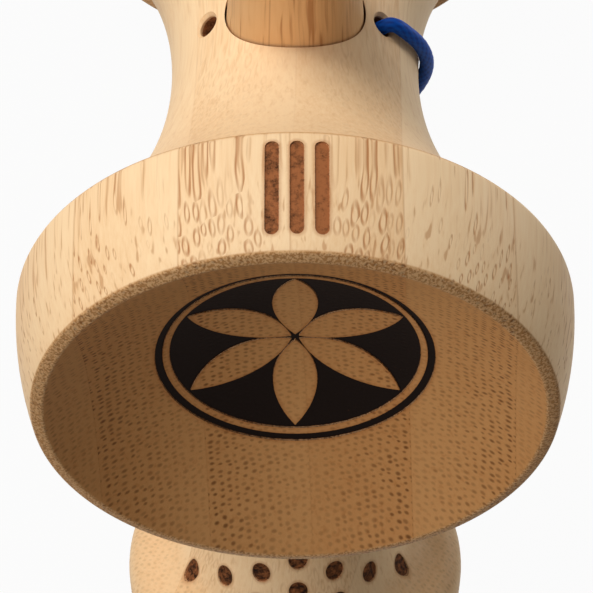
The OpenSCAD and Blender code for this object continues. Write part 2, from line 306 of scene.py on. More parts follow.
def new_group(name, inputs, outputs):
    """An empty shader node group with its sockets, and its input and output nodes."""
    tree = bpy.data.node_groups.new(name, "ShaderNodeTree")
    for sockets, way in ((inputs, "INPUT"), (outputs, "OUTPUT")):
        for socket, kind in sockets.items():
            tree.interface.new_socket(name=socket, in_out=way, socket_type="NodeSocket" + kind)
    return tree, tree.nodes.new("NodeGroupInput"), tree.nodes.new("NodeGroupOutput")


def bamboo_group():
    """Bamboo in millimetres: strips across X, fibres along Z, cut wherever the surface lies."""
    # A strip's width and the middle seam; the fibre bundles' spacing, its share in depth, their offset and
    # unrest; the bundles' radius in the middle strips and in the others, their flatness, and how far their
    # size and their spread across a strip vary
    strip, seam = 9.4, 0.65
    cell, stretch, stagger, unrest = 0.74, 0.78, 0.5, 0.42
    large, small, depth_share, size_swing, spread_swing = 0.265, 0.148, 0.7, 0.4, 0.8
    # How far the bundles wander, slowly and quickly, and how far each strip's pattern is shifted
    slow_scale, slow_reach = (0.03, 0.03, 0.02), (0.9, 0.9, 0)
    quick_scale, quick_reach = (0.5, 0.5, 0.16), (0.4, 0.4, 0)
    shift_across, shift_deep = 7, 53
    # Scales of fine streaks, bold streaks, clouds and torn fibres; what the first three, a strip's density
    # and its own tone add to the ground's warmth
    streak_scale, bold_scale, cloud_scale, torn_scale = (6, 6, 0.15), (2.2, 2.2, 0.05), 0.12, 4.6
    streak_share, bold_share, cloud_share, dense_share, tone_share = 0.5, 0.5, 0.4, 0.2, 0.2
    # How strongly seams, bold streaks, bundles and torn fibres are drawn; roughness and relief of the streaks
    seam_dark, bold_dark, bundle_dark, torn_share = 0.3, 0.45, 0.85, 0.4
    least_rough, rough_swing, streak_rise = 0.42, 0.16, 0.4
    pale, honey = seen(248, 215, 171), seen(227, 177, 122)
    fibre_along, fibre_end = seen(172, 108, 58), seen(112, 72, 38)
    end_tint = seen(217, 186, 150)
    darkened = seen(236, 220, 200)
    speck_dark, speck_pale = seen(130, 92, 58), seen(240, 206, 160)
    sockets = {"Vector": "Vector", "End Grain": "Float", "Figure": "Float", "Sawn": "Float",
               "Handled": "Float", "Seed": "Float"}
    tree, given, put = new_group("bamboo", sockets,
                                 {"Color": "Color", "Roughness": "Float", "Height": "Float"})
    place, end, figure, sawn, handled, seed = (given.outputs[name] for name in sockets)

    def warped(scale, reach):
        """A smooth drift of the pattern, by up to a reach."""
        near = node(tree, "VectorMath", {0: place, 1: scale}, operation="MULTIPLY").outputs[0]
        drift = node(tree, "TexNoise", {"Vector": near, "Scale": 1, "Detail": 1}).outputs["Color"]
        return node(tree, "VectorMath", {0: drift, 1: reach}, operation="MULTIPLY").outputs[0]

    grown = place
    for scale, reach in ((slow_scale, slow_reach), (quick_scale, quick_reach)):
        grown = node(tree, "VectorMath", {0: grown, 1: warped(scale, reach)}, operation="ADD").outputs[0]
    offset = calc(tree, "SUBTRACT", node(tree, "SeparateXYZ", {0: place}).outputs[0], seam)
    strips = calc(tree, "DIVIDE", calc(tree, "ABSOLUTE", offset), strip)
    dense = calc(tree, "FRACT", strips)
    index = calc(tree, "FLOOR", strips)
    number = calc(tree, "MULTIPLY", calc(tree, "ADD", index, 0.5), calc(tree, "SIGN", offset))
    number = calc(tree, "ADD", number, seed)
    tone = node(tree, "TexWhiteNoise", {"W": number}, noise_dimensions="1D").outputs[0]

    # Fibre bundles: their outlines show along the grain, their pores on the end grain
    xyz = node(tree, "SeparateXYZ", {0: grown}).outputs
    column = calc(tree, "MULTIPLY_ADD", tone, shift_across, calc(tree, "DIVIDE", xyz[0], cell))
    row = calc(tree, "MULTIPLY_ADD", column, stagger, calc(tree, "DIVIDE", xyz[1], cell * stretch))
    row = calc(tree, "MULTIPLY_ADD", tone, shift_deep, row)
    lattice = node(tree, "CombineXYZ", {0: column, 1: row}).outputs[0]
    cells = node(tree, "TexVoronoi", {"Vector": lattice, "Scale": 1, "Randomness": unrest},
                 voronoi_dimensions="2D").outputs
    luck = node(tree, "SeparateColor", {0: cells["Color"]}).outputs
    away = node(tree, "VectorMath", {0: lattice, 1: cells["Position"]}, operation="SUBTRACT").outputs[0]
    away = node(tree, "SeparateXYZ", {0: away}).outputs
    size = calc(tree, "MULTIPLY_ADD", calc(tree, "MINIMUM", index, 1), small - large, large)
    chance = calc(tree, "MULTIPLY_ADD", luck[1], size_swing, 1 - size_swing / 2)
    aside = calc(tree, "DIVIDE", calc(tree, "MULTIPLY", away[0], cell), chance)
    over = calc(tree, "SUBTRACT", away[1], calc(tree, "MULTIPLY", away[0], stagger))
    over = calc(tree, "DIVIDE", calc(tree, "MULTIPLY", over, cell * stretch / depth_share), chance)
    out = length2(tree, aside, over)
    caps = calc(tree, "DIVIDE", calc(tree, "ABSOLUTE", aside), calc(tree, "ADD", out, 0.02))
    round_out = calc(tree, "SUBTRACT", calc(tree, "DIVIDE", out, size), 1)
    wall = fade(tree, calc(tree, "ABSOLUTE", round_out), 0.5, 0.08)
    loop = calc(tree, "MULTIPLY", wall, calc(tree, "MULTIPLY_ADD", caps, 0.8, 0.2))
    pore = fade(tree, out, 1.15 * large, 0.3 * large)
    mark = node(tree, "Mix", {0: end, 2: loop, 3: pore}).outputs[0]
    scatter = calc(tree, "MULTIPLY_ADD", luck[0], spread_swing, -spread_swing / 2)
    spread = calc(tree, "ADD", dense, scatter)
    along_shown = fade(tree, spread, 0.25, 0.8)
    end_shown = calc(tree, "MULTIPLY", calc(tree, "MULTIPLY_ADD", dense, 0.75, 0.25),
                     calc(tree, "MULTIPLY_ADD", luck[0], 0.5, 0.5))
    shown = node(tree, "Mix", {0: end, 2: along_shown, 3: end_shown}).outputs[0]
    dark = calc(tree, "MULTIPLY", calc(tree, "MULTIPLY", mark, shown), figure)

    # The ground between them: streaks, clouds, glue seams, end grain, torn fibres and the hand's darkening
    long = node(tree, "VectorMath", {0: grown, 1: streak_scale}, operation="MULTIPLY").outputs[0]
    streak = node(tree, "TexNoise", {"Vector": long, "Scale": 1, "Detail": 2}).outputs[0]
    broad = node(tree, "VectorMath", {0: grown, 1: bold_scale}, operation="MULTIPLY").outputs[0]
    bold = node(tree, "TexNoise", {"Vector": broad, "Scale": 1, "Detail": 1}).outputs[0]
    cloud = node(tree, "TexNoise", {"Vector": place, "Scale": cloud_scale, "Detail": 2}).outputs[0]
    warm = calc(tree, "MULTIPLY_ADD", dense, dense_share, calc(tree, "MULTIPLY", tone, tone_share))
    for share, pattern in ((streak_share, streak), (cloud_share, cloud), (bold_share, bold)):
        warm = calc(tree, "ADD", warm, calc(tree, "MULTIPLY_ADD", pattern, share, -share / 2))
    ground = mixed(tree, warm, pale, honey)
    edge = calc(tree, "MULTIPLY", calc(tree, "MINIMUM", dense, calc(tree, "SUBTRACT", 1, dense)), strip)
    lines = calc(tree, "MAXIMUM", calc(tree, "MULTIPLY", fade(tree, edge, 0.12, 0.03), seam_dark),
                 calc(tree, "MULTIPLY", fade(tree, bold, 0.6, 0.72), bold_dark))
    lines = calc(tree, "MULTIPLY", lines, calc(tree, "SUBTRACT", 1, calc(tree, "MULTIPLY", end, 0.7)))
    lines = calc(tree, "MULTIPLY", lines, calc(tree, "MAXIMUM", figure, calc(tree, "MULTIPLY", handled, 1.2)))
    ground = mixed(tree, lines, ground, fibre_along)
    fibre = mixed(tree, end, fibre_along, fibre_end)
    ground = mixed(tree, calc(tree, "MULTIPLY", dark, bundle_dark), ground, fibre)
    ground = mixed(tree, calc(tree, "MULTIPLY", end, figure), ground, end_tint, "MULTIPLY")
    torn = node(tree, "TexNoise", {"Vector": place, "Scale": torn_scale, "Detail": 2}).outputs[0]
    torn = mixed(tree, fade(tree, torn, 0.42, 0.58), speck_dark, speck_pale)
    ground = mixed(tree, calc(tree, "MULTIPLY", sawn, torn_share), ground, torn)
    ground = mixed(tree, handled, ground, darkened, "MULTIPLY")
    tree.links.new(ground, put.inputs["Color"])
    tree.links.new(calc(tree, "MULTIPLY_ADD", streak, rough_swing, least_rough), put.inputs["Roughness"])
    relief = calc(tree, "SUBTRACT", calc(tree, "MULTIPLY", streak, streak_rise), dark)
    tree.links.new(relief, put.inputs["Height"])
    return tree


bamboo = bamboo_group()


def scorch_group():
    """Burnt wood: brown to black in blotches inside a mask, with a browned edge around it; the same brown
    also serves as painted shade inside holes.
    """
    brown, black, singed = seen(160, 98, 58), seen(18, 8, 4), seen(176, 110, 60)
    fray_scale, fray_reach, blotch_scale = 5, 0.06, 1.6
    edge_out, edge_in, halo_w, halo_share = 0.05, -0.06, 0.4, 0.45
    sockets = {"Color": "Color", "Distance": "Float", "Vector": "Vector", "Char": "Float"}
    tree, given, put = new_group("scorch", sockets, {"Color": "Color", "Mask": "Float"})
    away, place = given.outputs["Distance"], given.outputs["Vector"]
    rough = node(tree, "TexNoise", {"Vector": place, "Scale": fray_scale, "Detail": 2}).outputs[0]
    blotch = node(tree, "TexNoise", {"Vector": place, "Scale": blotch_scale, "Detail": 5,
                                     "Roughness": 0.75}).outputs[0]
    frayed = calc(tree, "ADD", away, calc(tree, "MULTIPLY_ADD", rough, 2 * fray_reach, -fray_reach))
    mask = fade(tree, frayed, edge_out, edge_in)
    halo = fade(tree, frayed, halo_w, 0)
    charred = fade(tree, calc(tree, "ADD", blotch, given.outputs["Char"]), 0.35, 0.75)
    burnt = mixed(tree, charred, brown, black)
    browned = mixed(tree, calc(tree, "MULTIPLY", halo, halo_share), given.outputs["Color"], singed)
    tree.links.new(mixed(tree, mask, browned, burnt), put.inputs["Color"])
    tree.links.new(mask, put.inputs["Mask"])
    return tree


scorch = scorch_group()
fine_bump = 0.00004
wood_gloss = 0.08
char_dullness = 0.2
mm = 1000


def new_finish(name):
    """A new material, with its node tree and its surface shader."""
    material = bpy.data.materials.new(name)
    material.use_nodes = True
    return material, material.node_tree, material.node_tree.nodes["Principled BSDF"]


def bamboo_material(name, place, grain, seed, seam_turn, figure):
    """A bamboo finish for one piece: its middle, the turns that lay its grain along Z and its seams
    across X, the seed of its strips, and how strongly its fibre bundles show."""
    material, tree, shader = new_finish(name)
    where = node(tree, "TexCoord", {}).outputs
    centred = node(tree, "VectorMath", {0: where["Object"], 1: place}, operation="SUBTRACT").outputs[0]
    millimetres = node(tree, "VectorMath", {0: centred, "Scale": mm}, operation="SCALE").outputs[0]
    lay = (grain, 0, seam_turn)
    laid = node(tree, "Mapping", {"Vector": millimetres, "Rotation": lay}).outputs[0]
    facing = node(tree, "Mapping", {"Vector": where["Normal"], "Rotation": lay}).outputs[0]
    along = calc(tree, "ABSOLUTE", node(tree, "SeparateXYZ", {0: facing}).outputs[2])
    end_grain = fade(tree, along, 0.25, 0.75)
    wood = node(tree, "Group", {"Vector": laid, "End Grain": end_grain, "Seed": seed, "Figure": figure},
                node_tree=bamboo)
    bump = node(tree, "Bump", {"Strength": 0.5, "Distance": fine_bump, "Height": wood.outputs["Height"]})
    tree.links.new(bump.outputs[0], shader.inputs["Normal"])
    tree.links.new(wood.outputs["Roughness"], shader.inputs["Roughness"])
    tree.links.new(wood.outputs["Color"], shader.inputs["Base Color"])
    shader.inputs["Specular IOR Level"].default_value = wood_gloss
    return material, tree, shader, wood, millimetres


def burn_in(tree, shader, wood, millimetres, distance, char):
    """Burns a mark into a bamboo finish, from the distance to the mark's edge; the same mark also paints
    shade into the cross piece's holes.
    """
    burn = node(tree, "Group", {"Color": wood.outputs["Color"], "Distance": distance, "Vector": millimetres,
                                "Char": char}, node_tree=scorch)
    tree.links.new(burn.outputs["Color"], shader.inputs["Base Color"])
    dull = calc(tree, "MULTIPLY_ADD", burn.outputs["Mask"], char_dullness, wood.outputs["Roughness"])
    tree.links.new(dull, shader.inputs["Roughness"])


ken_finish, tree, shader, wood, ken_mm = bamboo_material(
    "oiled_bamboo_ken", (0, 0, 0), grain=0, seed=3.7, seam_turn=0.5, figure=0.35)
xyz = node(tree, "SeparateXYZ", {0: ken_mm}).outputs
around = calc(tree, "ARCTAN2", xyz[0], calc(tree, "MULTIPLY", xyz[1], -1))
columns_out = calc(tree, "DIVIDE", calc(tree, "SUBTRACT", around, dot_turn), dot_column)
nearest = calc(tree, "ROUND", columns_out)
aside = calc(tree, "ABSOLUTE", nearest)
from_axis = length2(tree, xyz[0], xyz[1])
dot_x = calc(tree, "MULTIPLY", calc(tree, "SUBTRACT", columns_out, nearest),
             calc(tree, "MULTIPLY", from_axis, dot_column))
bowed = calc(tree, "MULTIPLY_ADD", calc(tree, "POWER", aside, 2), -dot_bow * mm, dot_top_z * mm)
rows_down = calc(tree, "DIVIDE", calc(tree, "SUBTRACT", bowed, xyz[2]), dot_row_drop * mm)
second = calc(tree, "GREATER_THAN", calc(tree, "SUBTRACT", rows_down, aside), 1)
second = calc(tree, "MULTIPLY", second, calc(tree, "LESS_THAN", aside, dot_rows / 2 - 0.5))
row = calc(tree, "MULTIPLY_ADD", second, 2, aside)
dot_y = calc(tree, "MULTIPLY", calc(tree, "SUBTRACT", rows_down, row), dot_row_drop * mm / dot_stretch)
beyond = calc(tree, "MULTIPLY", calc(tree, "GREATER_THAN", aside, dot_rows - 0.5), mm)
dot_out = calc(tree, "ADD", length2(tree, dot_x, dot_y), beyond)
tree.links.new(fade(tree, xyz[2], neck_z * mm, grip_z * mm), wood.inputs["Handled"])
burn_in(tree, shader, wood, ken_mm, calc(tree, "SUBTRACT", dot_out, dot_r * mm), dot_char)
ken.data.materials.append(ken_finish)
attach(ken, "ken")
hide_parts("ken")

# Cross piece: the sarado, turned in one piece with its grain along the cups' axis, then bored across
# for the ken's taper and drilled at two sides for the string. Three bars are burnt into the big
# cup's band and a plain six-petalled rosette into its dish, a hair below the surface.
sarado_low, sarado_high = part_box("sarado")
big_cup_r = sarado_high.x
big_reach = -sarado_low.y
small_reach = sarado_high.y
big_rim_r = 0.0231
big_belly = 0.0113
small_cup_r = 0.0225
small_rim_r = 0.0207
small_belly = 0.0103
shoulder_r = 0.001
waist_root_r = 0.0232
dish_r = 0.03186
lip_w = 0.00095
lip_fall = 0.00035
bore_low_r = 0.00795
bore_high_r = 0.00642
string_hole_r = 0.0011
hole_ease = 0.0003
sarado_steps = 256
bore_steps = 128
waist_run = big_reach - big_belly - shoulder_r
small_run = small_reach - small_belly - shoulder_r
waist_arc = arc_radius(waist_run, waist_root_r - waist_r)
waist_centre = Vector((waist_r + waist_arc, 0))


def sarado_outline():
    """Half outline of the cross piece along its axis, from the big dish to the small one."""
    big_shoulder = Vector((big_cup_r - shoulder_r, big_belly - big_reach))
    small_shoulder = Vector((small_cup_r - shoulder_r, small_reach - small_belly))
    big_cup = cup_outline(big_cup_r, big_rim_r, big_belly, dish_r, lip_w, lip_fall)
    small_cup = cup_outline(small_cup_r, small_rim_r, small_belly, dish_r, lip_w, lip_fall)
    big = [p + Vector((0, -big_reach)) for p in big_cup]
    small = [Vector((p.x, small_reach - p.y)) for p in small_cup]
    waist = arc(waist_centre, waist_arc, math.pi + math.asin(waist_run / waist_arc),
                math.pi - math.asin(small_run / waist_arc))
    return (big + arc(big_shoulder, shoulder_r, 0, math.pi / 2) + waist
            + arc(small_shoulder, shoulder_r, -math.pi / 2, 0) + small[::-1])


def lay_along_y(piece):
    """Turns a piece from the lathe's Z to the cross piece's own axis."""
    piece.data.transform(Matrix.Translation((0, 0, sarado_z)) @ Matrix.Rotation(-math.pi / 2, 4, "X"))


sarado = turned("sarado_bamboo", sarado_outline(), sarado_steps)
lay_along_y(sarado)
bore_run = 2 * waist_r
bore_past = 0.2 * bore_run
bore_slope = (bore_low_r - bore_high_r) / bore_run
cut(sarado, rod("bore_reamer", bore_low_r + bore_slope * bore_past, bore_run + 2 * bore_past,
                Matrix.Translation((0, 0, sarado_z - waist_r - bore_past)), segments=bore_steps,
                radius_top=bore_high_r - bore_slope * bore_past))
for tilt in (-math.pi / 4, math.pi / 4):
    up = Matrix.Translation((0, 0, sarado_z)) @ Matrix.Rotation(tilt, 4, "Y")
    cut(sarado, rod("string_drill", string_hole_r, 2 * waist_r, up))
    mouth = up @ Matrix.Translation((0, 0, waist_r - hole_ease))
    cut(sarado, rod("mouth_drill", string_hole_r, waist_r, mouth, radius_top=string_hole_r + waist_r))

bar_w = 0.0012
bar_start = -0.0371
bar_end = -0.0282
bar_pitch = 0.0021
bar_x = 0.00015
bar_depth = 0.00015
bar_sides = 32
bar_middle = (bar_start + bar_end) / 2
bar_straight = (bar_end - bar_start - bar_w) / 2
band_half_turn = 0.5


def raise_faces(bm, height):
    """Extrudes flat faces upwards to solid prisms."""
    grown = bmesh.ops.extrude_face_region(bm, geom=bm.faces[:])["geom"]
    lifted = [v for v in grown if isinstance(v, bmesh.types.BMVert)]
    bmesh.ops.translate(bm, verts=lifted, vec=(0, 0, height))
    bmesh.ops.recalc_face_normals(bm, faces=bm.faces)


bars = bmesh.new()
for bar in (-1, 0, 1):
    made = bmesh.ops.create_circle(bars, cap_ends=True, segments=bar_sides, radius=bar_w / 2,
                                   matrix=Matrix.Rotation(math.pi / bar_sides, 4, "Z"))["verts"]
    for vert in made:
        vert.co.y += math.copysign(bar_straight, vert.co.y)
    place = Vector((bar_x + bar * bar_pitch, bar_middle, sarado_z + waist_r))
    bmesh.ops.translate(bars, verts=made, vec=place)
raise_faces(bars, 2 * waist_r)
bar_tool = as_object("bar_tool", bars)
band_r = arc_radius(big_belly, big_cup_r - big_rim_r)
band_centre = Vector((big_cup_r - band_r, big_belly - big_reach))
band = arc(band_centre, band_r - bar_depth, -band_half_turn, band_half_turn)
band_core = turned("band_core", [Vector((0, band[0].y))] + band + [Vector((0, band[-1].y))], sarado_steps)
lay_along_y(band_core)
cut(bar_tool, band_core)
cut(sarado, bar_tool)

rosette_r = 0.0125
rosette_depth = 0.00012
petal_l = 0.0105
petal_w = 0.004
petal_gap = 0.0004
petals = 6
ring_in = 0.0112
ring_out = 0.0118
rosette_steps = 160
dish_centre_y = -big_reach - math.sqrt(dish_r ** 2 - (big_rim_r - lip_w) ** 2)
petal_arc = arc_radius(petal_l / 2, petal_w / 2)
petal_turn = math.asin(petal_l / 2 / petal_arc)
petal_middle = petal_gap + petal_l / 2
to_dish = Matrix.Translation((0, dish_centre_y, sarado_z)) @ Matrix.Rotation(-math.pi / 2, 4, "X")
floor_r = dish_r + rosette_depth
ring_top = 0.8 * dish_r
rosette_tool = rod("rosette_tool", ring_in, floor_r, to_dish, rosette_steps)
petal_side = arc(Vector((petal_middle, petal_w / 2 - petal_arc)), petal_arc,
                 math.pi / 2 + petal_turn, math.pi / 2 - petal_turn)
petal_outline = petal_side + [Vector((p.x, -p.y)) for p in petal_side[-2:0:-1]]
for index in range(petals):
    petal = bmesh.new()
    petal.faces.new([petal.verts.new((p.x, p.y, 0)) for p in petal_outline])
    raise_faces(petal, 2 * dish_r)
    spoke = Matrix.Rotation(math.tau * (index + 0.5) / petals, 4, "Z")
    bmesh.ops.transform(petal, matrix=to_dish @ spoke, verts=petal.verts)
    cut(rosette_tool, as_object("petal_tool", petal))
ball = bmesh.new()
bmesh.ops.create_uvsphere(ball, u_segments=sarado_steps, v_segments=rosette_steps, radius=floor_r,
                          matrix=to_dish)
cut(rosette_tool, as_object("dish_ball", ball), "INTERSECT")
cut(sarado, rosette_tool)
pressed = arc(Vector((0, 0)), floor_r, math.acos(ring_out / floor_r), math.acos(rosette_r / floor_r))
ring_tool = turned("ring_tool", pressed + [Vector((rosette_r, ring_top)), Vector((ring_out, ring_top))],
                   rosette_steps, closed=True)
ring_tool.data.transform(to_dish)
cut(sarado, ring_tool)
smooth(sarado)

waist_figure = 0.2
bar_char = -0.05
bar_char_step = 0.06
rosette_char = 0.4
# Depth inside the waist from which the bore and string holes get painted shade
hole_shade_reach = 0.0005
sawn_w = 1.2 * lip_w
sawn_fall = 1.6 * lip_fall
sarado_finish, tree, shader, wood, sarado_mm = bamboo_material(
    "oiled_bamboo_sarado", (0, 0, sarado_z), grain=math.pi / 2, seed=1.3, seam_turn=0.045, figure=1)
xyz = node(tree, "SeparateXYZ", {0: sarado_mm}).outputs
bar_at = calc(tree, "DIVIDE", calc(tree, "SUBTRACT", xyz[0], bar_x * mm), bar_pitch * mm)
which = calc(tree, "MINIMUM", calc(tree, "MAXIMUM", calc(tree, "ROUND", bar_at), -1), 1)
aside = calc(tree, "MULTIPLY", calc(tree, "SUBTRACT", bar_at, which), bar_pitch * mm)
along = calc(tree, "ABSOLUTE", calc(tree, "SUBTRACT", xyz[1], bar_middle * mm))
past = calc(tree, "MAXIMUM", calc(tree, "SUBTRACT", along, bar_straight * mm), 0)
bar_out = calc(tree, "SUBTRACT", length2(tree, aside, past), bar_w / 2 * mm)
from_middle = length2(tree, xyz[0], xyz[2])
in_band = calc(tree, "MULTIPLY", calc(tree, "GREATER_THAN", xyz[2], 0),
               calc(tree, "GREATER_THAN", from_middle, big_rim_r * mm))
bar_out = calc(tree, "MULTIPLY_ADD", calc(tree, "SUBTRACT", 1, in_band), mm, bar_out)
sector = math.tau / petals
swing = calc(tree, "DIVIDE", calc(tree, "ARCTAN2", xyz[2], xyz[0]), sector)
folded = calc(tree, "MULTIPLY", calc(tree, "SUBTRACT", calc(tree, "FRACT", swing), 0.5), sector)
petal_x = calc(tree, "MULTIPLY", from_middle, calc(tree, "COSINE", folded))
petal_y = calc(tree, "ABSOLUTE", calc(tree, "MULTIPLY", from_middle, calc(tree, "SINE", folded)))
petal_out = length2(tree, calc(tree, "SUBTRACT", petal_x, petal_middle * mm),
                    calc(tree, "ADD", petal_y, (petal_arc - petal_w / 2) * mm))
petal_out = calc(tree, "SUBTRACT", petal_out, petal_arc * mm)
ring_away = calc(tree, "ABSOLUTE", calc(tree, "SUBTRACT", from_middle, (ring_in + ring_out) / 2 * mm))
ring_out_by = calc(tree, "SUBTRACT", ring_away, (ring_out - ring_in) / 2 * mm)
disc_out = calc(tree, "SUBTRACT", from_middle, rosette_r * mm)
plain_in = calc(tree, "MULTIPLY", calc(tree, "MINIMUM", petal_out, ring_out_by), -1)
rosette_out = calc(tree, "MAXIMUM", disc_out, plain_in)
behind = calc(tree, "MULTIPLY", calc(tree, "GREATER_THAN", xyz[1], -waist_run * mm), mm)
rosette_out = calc(tree, "ADD", rosette_out, behind)
in_bars = calc(tree, "LESS_THAN", bar_out, rosette_out)
less_char = calc(tree, "MULTIPLY_ADD", which, -bar_char_step, bar_char - rosette_char)
char = calc(tree, "MULTIPLY_ADD", in_bars, less_char, rosette_char)
from_waist = calc(tree, "ABSOLUTE", xyz[1])
# Painted shade: the walls of the bore and the string holes, from a little inside the waist, get the burnt
# brown at no char, standing in for the shade deep in the holes.
hole_shade_out = calc(tree, "SUBTRACT", from_middle, (waist_r - hole_shade_reach) * mm)
off_waist = calc(tree, "GREATER_THAN", from_waist, waist_r * mm)
hole_shade_out = calc(tree, "MULTIPLY_ADD", off_waist, mm, hole_shade_out)
char = calc(tree, "MULTIPLY", char, calc(tree, "GREATER_THAN", hole_shade_out, 0))
in_cups = fade(tree, from_waist, small_run * mm - 1, waist_run * mm)
tree.links.new(calc(tree, "MULTIPLY_ADD", in_cups, 1 - waist_figure, waist_figure), wood.inputs["Figure"])
lips = []
for way, reach, rim_r in ((-1, big_reach, big_rim_r), (1, small_reach, small_rim_r)):
    out = calc(tree, "MULTIPLY", xyz[1], way)
    at_rim = fade(tree, out, (reach - sawn_fall) * mm, (reach - lip_fall) * mm)
    at_edge = fade(tree, from_middle, (rim_r - sawn_w) * mm, (rim_r - lip_w) * mm)
    lips.append(calc(tree, "MULTIPLY", at_rim, at_edge))
tree.links.new(calc(tree, "MAXIMUM", *lips), wood.inputs["Sawn"])
marks_out = calc(tree, "MINIMUM", bar_out, rosette_out)
# The bars and rosette are real burns; the bore and string holes get the same brown as painted shade.
burn_in(tree, shader, wood, sarado_mm, calc(tree, "MINIMUM", marks_out, hole_shade_out), char)
sarado.data.materials.append(sarado_finish)
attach(sarado, "sarado")
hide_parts("sarado")

# Ball: the tama, turned round from the same bamboo and bored from below for the spike. The bore's
# mouth is bevelled, its foot is flat, and a small hole at the top lets the string through.
tama_low, tama_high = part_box("tama")
tama_r = tama_high.x
tama_y = (tama_low.y + tama_high.y) / 2
tama_z = tama_high.z - tama_r
tama_bore_r = 0.0113
tama_bore_end = 0.015
tama_foot_r = 0.0143
tama_steps = 224
foot_edge = Vector((math.sqrt(tama_r ** 2 - tama_z ** 2), -tama_z))
mouth_r = string_hole_r + hole_ease
mouth_edge = Vector((mouth_r, math.sqrt(tama_r ** 2 - mouth_r ** 2)))
bevel_top = Vector((tama_bore_r, tama_foot_r - tama_bore_r - tama_z))
bore_top = Vector((tama_bore_r, tama_bore_end))
hole_foot = Vector((string_hole_r, tama_bore_end))
hole_top = Vector((string_hole_r, mouth_edge.y - hole_ease))
ball_round = arc(Vector((0, 0)), tama_r, turn(mouth_edge), turn(foot_edge) - math.tau)
tama_outline = ball_round + [Vector((tama_foot_r, -tama_z))]
for corner in (bevel_top, bore_top, hole_foot, hole_top):
    tama_outline += line(tama_outline[-1], corner)[1:]
tama = turned("tama_bamboo", tama_outline, tama_steps, closed=True)
tama.data.transform(Matrix.Translation((0, tama_y, tama_z)))
smooth(tama)
tama_finish = bamboo_material("oiled_bamboo_tama", (0, tama_y, tama_z),
                              grain=0, seed=8.1, seam_turn=1.2, figure=0.8)[0]
tama.data.materials.append(tama_finish)
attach(tama, "tama")
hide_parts("tama")

# Bead: a small barrel turned from a darker wood, threaded on the string above the ball so that the
# string doesn't chafe at the ball's hole.
bead_low, bead_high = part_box("bead")
bead_r = bead_high.x
bead_length = bead_high.z - bead_low.z
bead_draw_in = 0.3 * bead_r
bead_ease = 0.0003
bead_steps = 72
bead_fibres = (2600, 2600, 160)
barrel_r = arc_radius(bead_length / 2, bead_draw_in)
barrel_turn = math.asin((bead_length / 2 - bead_ease) / barrel_r)
bead_side = arc(Vector((bead_r - barrel_r, bead_length / 2)), barrel_r, -barrel_turn, barrel_turn)
rim_x = bead_side[0].x - bead_ease
bead_end = [Vector((string_hole_r, bead_ease)), Vector((string_hole_r + bead_ease, 0)), Vector((rim_x, 0))]
bead_outline = bead_end + bead_side + [Vector((p.x, bead_length - p.y)) for p in bead_end[::-1]]
bead = turned("bead_wood", bead_outline, bead_steps, closed=True)
bead.data.transform(Matrix.Translation((0, tama_y, bead_low.z)))
smooth(bead, sharp=50)
bead_finish, tree, shader = new_finish("bead_wood")
object_place = node(tree, "TexCoord", {}).outputs["Object"]
fibres = node(tree, "VectorMath", {0: object_place, 1: bead_fibres}, operation="MULTIPLY").outputs[0]
grain = node(tree, "TexNoise", {"Vector": fibres, "Scale": 1, "Detail": 4, "Distortion": 0.6}).outputs[0]
bead_color = mixed(tree, fade(tree, grain, 0.35, 0.7), seen(214, 166, 108), seen(150, 96, 52))
tree.links.new(bead_color, shader.inputs["Base Color"])
tree.links.new(calc(tree, "MULTIPLY_ADD", grain, 0.2, 0.3), shader.inputs["Roughness"])
bead_bump = node(tree, "Bump", {"Strength": 0.4, "Distance": fine_bump, "Height": grain}).outputs[0]
tree.links.new(bead_bump, shader.inputs["Normal"])
bead.data.materials.append(bead_finish)
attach(bead, "bead")
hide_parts("bead")

# String: one round braid of blue polyester, knotted in the ken, led out of the cross piece's right
# hole and down to the handle, where the spare length is wound on. From there it sags to the ball.
string_r = 0.0007
string_d = 2 * string_r
braid_depth = 0.00003
braid_strands = 8
braid_pitch = 0.0012
string_sides = 32
ring_step = 0.00018
yarn_scale = 9000
knot_steps = 180
lead_route = [
    (-.0016, 0, .10075), (.0015, 0, .10075), (.004, 0, .10075), (.0054, 0, .1008), (.0066, 0, .10105),
    (.0075, 0, .1015), (.0081, 0, .1019), (.0087, 0, .10225), (.00925, 0, .1022), (.0098, .00005, .10175),
    (.0104, .0002, .10095), (.0112, .0006, .0996), (.01185, .0011, .09805), (.01235, .0017, .0961),
    (.01255, .0024, .094), (.0124, .003, .0919), (.01195, .0036, .0898), (.01125, .0041, .0876),
    (.01065, .0048, .0846), (.0102, .0056, .081), (.00975, .0065, .0774), (.0089, .0076, .0739),
    (.0075, .0088, .0706), (.006, .0098, .0683), (.0044, .01025, .0673), (.0029, .01025, .0673),
    (.00145, .01025, .0673)]
tail_route = [
    (.00995, .00145, .06235), (.00995, .0029, .06235), (.00995, .0044, .06235), (.0098, .0084, .061),
    (.0093, .015, .0574), (.0084, .024, .0534), (.0074, .034, .0512), (.0063, .044, .0505),
    (.0053, .054, .0514), (.0042, .064, .0536), (.0033, .073, .0567), (.0024, .081, .0603),
    (.0017, .088, .0643), (.001, .0945, .0686), (.0005, .099, .0719), (.0002, .1016, .0736),
    (0, .104, .0744), (0, .1066, .0734), (0, .108, .0706), (0, .108, .066), (0, .108, .06),
    (0, .108, .05), (0, .108, .0408)]
wind_z = 0.0673
wind_pitch = 0.0018
wind_gap = 0.0003
wind_from = 90
wind_to = 1080
wind_step = 3
wind_grip_arc = arc_radius(grip_z - handle_z, grip_r - handle_r)


def wind_point(degrees):
    """A point of the winding, on the handle's own curve."""
    z = wind_z - wind_pitch * (degrees - wind_from) / 360
    grip = handle_r + wind_grip_arc - math.sqrt(wind_grip_arc ** 2 - (z - handle_z) ** 2)
    out = grip + string_r + wind_gap
    return Vector((out * math.cos(math.radians(degrees)), out * math.sin(math.radians(degrees)), z))


